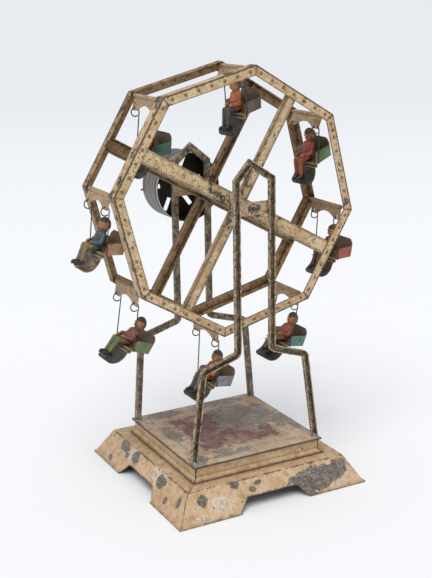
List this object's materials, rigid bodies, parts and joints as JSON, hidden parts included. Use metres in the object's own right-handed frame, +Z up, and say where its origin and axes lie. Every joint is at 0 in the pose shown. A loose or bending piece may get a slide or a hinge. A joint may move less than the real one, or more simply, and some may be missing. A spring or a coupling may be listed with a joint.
{
  "type": "toy ferris wheel",
  "caption": "Old painted tinplate toy Ferris wheel: octagonal wheel with swinging seats and riders between two bent trestles on a stepped square base, with a drive drum behind.",
  "frame": {"origin": "under the middle of the whole toy, on the plane that its feet rest on", "axes": "+Z up, axle along Y with the drum on the +Y side, riders face -X"},
  "size_m": [0.2328, 0.1626, 0.3174],
  "materials": {
    "cream_tin": "old worn paint, satin",
    "base_panel": "old worn paint, satin",
    "dark_tin": "old worn paint, satin",
    "seat_teal": "old worn paint, satin",
    "seat_grey": "old worn paint, satin",
    "seat_green": "old worn paint, satin",
    "seat_red": "old worn paint, satin",
    "seat_blue_grey": "old worn paint, satin",
    "seat_pink": "old worn paint, satin",
    "coat_orange": "old worn paint, satin",
    "coat_red": "old worn paint, satin",
    "coat_brown": "old worn paint, satin",
    "coat_blue": "old worn paint, satin",
    "bare_tin": "dull, streaked",
    "steel_wire": "dark, dull",
    "solder": "dull grey"
  },
  "bodies": {
    "stand": {"base_plinth": "cream_tin", "base_step": "cream_tin", "base_top_plate": "base_panel", "foot_solder": "solder", "front_trestle": "cream_tin", "rear_trestle": "cream_tin", "front_bearing_strap": "cream_tin", "rear_bearing_strap": "cream_tin"},
    "wheel": {"front_rim": "cream_tin", "rear_rim": "cream_tin", "front_long_spoke": "cream_tin", "front_cross_spoke": "cream_tin", "rear_long_spoke": "cream_tin", "rear_cross_spoke": "cream_tin", "axle": "steel_wire", "hub_sleeve": "bare_tin", "axle_collars": "bare_tin", "pivot_rods": "steel_wire", "drum_band": "bare_tin", "drum_disc": "bare_tin"},
    "hanger_1": {"hanger_1": "cream_tin"},
    "gondola_1": {"wires_1": "steel_wire", "seat_1": "seat_teal", "footrest_1": "dark_tin", "figure_1": "coat_orange"},
    "hanger_2": {"hanger_2": "cream_tin"},
    "gondola_2": {"wires_2": "steel_wire", "seat_2": "seat_grey", "footrest_2": "dark_tin", "figure_2": "coat_orange"},
    "hanger_3": {"hanger_3": "cream_tin"},
    "gondola_3": {"wires_3": "steel_wire", "seat_3": "seat_green", "footrest_3": "dark_tin", "figure_3": "coat_red"},
    "hanger_4": {"hanger_4": "cream_tin"},
    "gondola_4": {"wires_4": "steel_wire", "seat_4": "seat_red", "footrest_4": "dark_tin", "figure_4": "coat_brown"},
    "hanger_5": {"hanger_5": "cream_tin"},
    "gondola_5": {"wires_5": "steel_wire", "seat_5": "seat_teal", "footrest_5": "dark_tin", "figure_5": "coat_red"},
    "hanger_6": {"hanger_6": "cream_tin"},
    "gondola_6": {"wires_6": "steel_wire", "seat_6": "seat_blue_grey", "footrest_6": "dark_tin", "figure_6": "coat_orange"},
    "hanger_7": {"hanger_7": "cream_tin"},
    "gondola_7": {"wires_7": "steel_wire", "seat_7": "seat_green", "footrest_7": "dark_tin", "figure_7": "coat_brown"},
    "hanger_8": {"hanger_8": "cream_tin"},
    "gondola_8": {"wires_8": "steel_wire", "seat_8": "seat_pink", "footrest_8": "dark_tin", "figure_8": "coat_blue"}
  },
  "joints": [
    {"name": "wheel_spin", "type": "hinge", "parent": "stand", "child": "wheel", "pos_m": [0.004, -0.0012, 0.21842], "axis": [0, 1, 0], "continuous": true},
    {"name": "hanger_1_pivot", "type": "hinge", "parent": "wheel", "child": "hanger_1", "pos_m": [-0.05383, 0.0005, 0.2963], "axis": [0, 1, 0], "continuous": true},
    {"name": "hanger_2_pivot", "type": "hinge", "parent": "wheel", "child": "hanger_2", "pos_m": [0.01817, 0.0005, 0.31438], "axis": [0, 1, 0], "continuous": true},
    {"name": "hanger_3_pivot", "type": "hinge", "parent": "wheel", "child": "hanger_3", "pos_m": [0.08187, 0.0005, 0.27626], "axis": [0, 1, 0], "continuous": true},
    {"name": "hanger_4_pivot", "type": "hinge", "parent": "wheel", "child": "hanger_4", "pos_m": [0.09996, 0.0005, 0.20425], "axis": [0, 1, 0], "continuous": true},
    {"name": "hanger_5_pivot", "type": "hinge", "parent": "wheel", "child": "hanger_5", "pos_m": [0.06183, 0.0005, 0.14055], "axis": [0, 1, 0], "continuous": true},
    {"name": "hanger_6_pivot", "type": "hinge", "parent": "wheel", "child": "hanger_6", "pos_m": [-0.01017, 0.0005, 0.12246], "axis": [0, 1, 0], "continuous": true},
    {"name": "hanger_7_pivot", "type": "hinge", "parent": "wheel", "child": "hanger_7", "pos_m": [-0.07387, 0.0005, 0.16059], "axis": [0, 1, 0], "continuous": true},
    {"name": "hanger_8_pivot", "type": "hinge", "parent": "wheel", "child": "hanger_8", "pos_m": [-0.09196, 0.0005, 0.23259], "axis": [0, 1, 0], "continuous": true},
    {"name": "gondola_1_swing", "type": "hinge", "parent": "hanger_1", "child": "gondola_1", "pos_m": [-0.05562, 0.0005, 0.28788], "axis": [0, 1, 0], "range_deg": [-25, 25]},
    {"name": "gondola_2_swing", "type": "hinge", "parent": "hanger_2", "child": "gondola_2", "pos_m": [0.01413, 0.0005, 0.30679], "axis": [0, 1, 0], "range_deg": [-12, 25]},
    {"name": "gondola_3_swing", "type": "hinge", "parent": "hanger_3", "child": "gondola_3", "pos_m": [0.07865, 0.0005, 0.26828], "axis": [0, 1, 0], "range_deg": [-22, 25]},
    {"name": "gondola_4_swing", "type": "hinge", "parent": "hanger_4", "child": "gondola_4", "pos_m": [0.09936, 0.0005, 0.19567], "axis": [0, 1, 0], "range_deg": [-25, 25]},
    {"name": "gondola_5_swing", "type": "hinge", "parent": "hanger_5", "child": "gondola_5", "pos_m": [0.06123, 0.0005, 0.13197], "axis": [0, 1, 0], "range_deg": [-25, 25]},
    {"name": "gondola_6_swing", "type": "hinge", "parent": "hanger_6", "child": "gondola_6", "pos_m": [-0.01017, 0.0005, 0.11386], "axis": [0, 1, 0], "range_deg": [-25, 25]},
    {"name": "gondola_7_swing", "type": "hinge", "parent": "hanger_7", "child": "gondola_7", "pos_m": [-0.07537, 0.0005, 0.15212], "axis": [0, 1, 0], "range_deg": [-25, 25]},
    {"name": "gondola_8_swing", "type": "hinge", "parent": "hanger_8", "child": "gondola_8", "pos_m": [-0.09518, 0.0005, 0.22462], "axis": [0, 1, 0], "range_deg": [-25, 25]}
  ],
  "couplings": [
    {"joint": "hanger_1_pivot", "follows": "wheel_spin", "ratio": -1},
    {"joint": "hanger_2_pivot", "follows": "wheel_spin", "ratio": -1},
    {"joint": "hanger_3_pivot", "follows": "wheel_spin", "ratio": -1},
    {"joint": "hanger_4_pivot", "follows": "wheel_spin", "ratio": -1},
    {"joint": "hanger_5_pivot", "follows": "wheel_spin", "ratio": -1},
    {"joint": "hanger_6_pivot", "follows": "wheel_spin", "ratio": -1},
    {"joint": "hanger_7_pivot", "follows": "wheel_spin", "ratio": -1},
    {"joint": "hanger_8_pivot", "follows": "wheel_spin", "ratio": -1}
  ]
}
